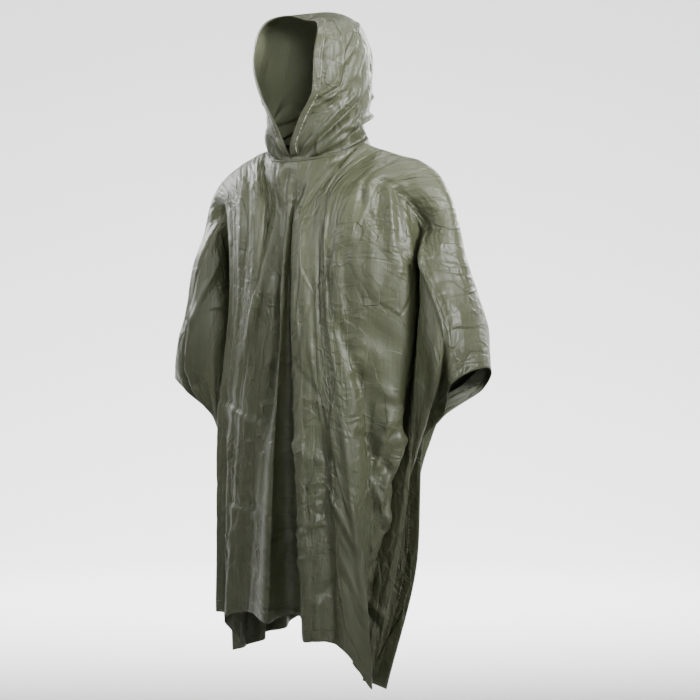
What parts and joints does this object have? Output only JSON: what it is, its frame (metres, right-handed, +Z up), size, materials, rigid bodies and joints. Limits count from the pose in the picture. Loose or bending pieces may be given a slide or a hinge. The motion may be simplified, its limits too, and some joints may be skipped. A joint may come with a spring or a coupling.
{
  "type": "rain poncho",
  "caption": "Hooded pull-over rain poncho of one vinyl sheet, worn shape, hollow, with open sleeves and hem and a gathered hood.",
  "frame": {"origin": "on the line from shoulder to shoulder, at the middle of the neck hole, where the wearer's shoulders hold the poncho", "axes": "+Z up along the wearer, -Y the way the wearer faces, +X towards the wearer's left hand"},
  "size_m": [0.7274, 0.387, 1.3085],
  "materials": {
    "vinyl": "satin",
    "vinyl_casing": "satin"
  },
  "bodies": {
    "root": {"front_panel": "vinyl", "back_panel": "vinyl", "hood_left": "vinyl", "hood_right": "vinyl", "hood_casing_left": "vinyl_casing", "hood_casing_right": "vinyl_casing"}
  },
  "joints": []
}
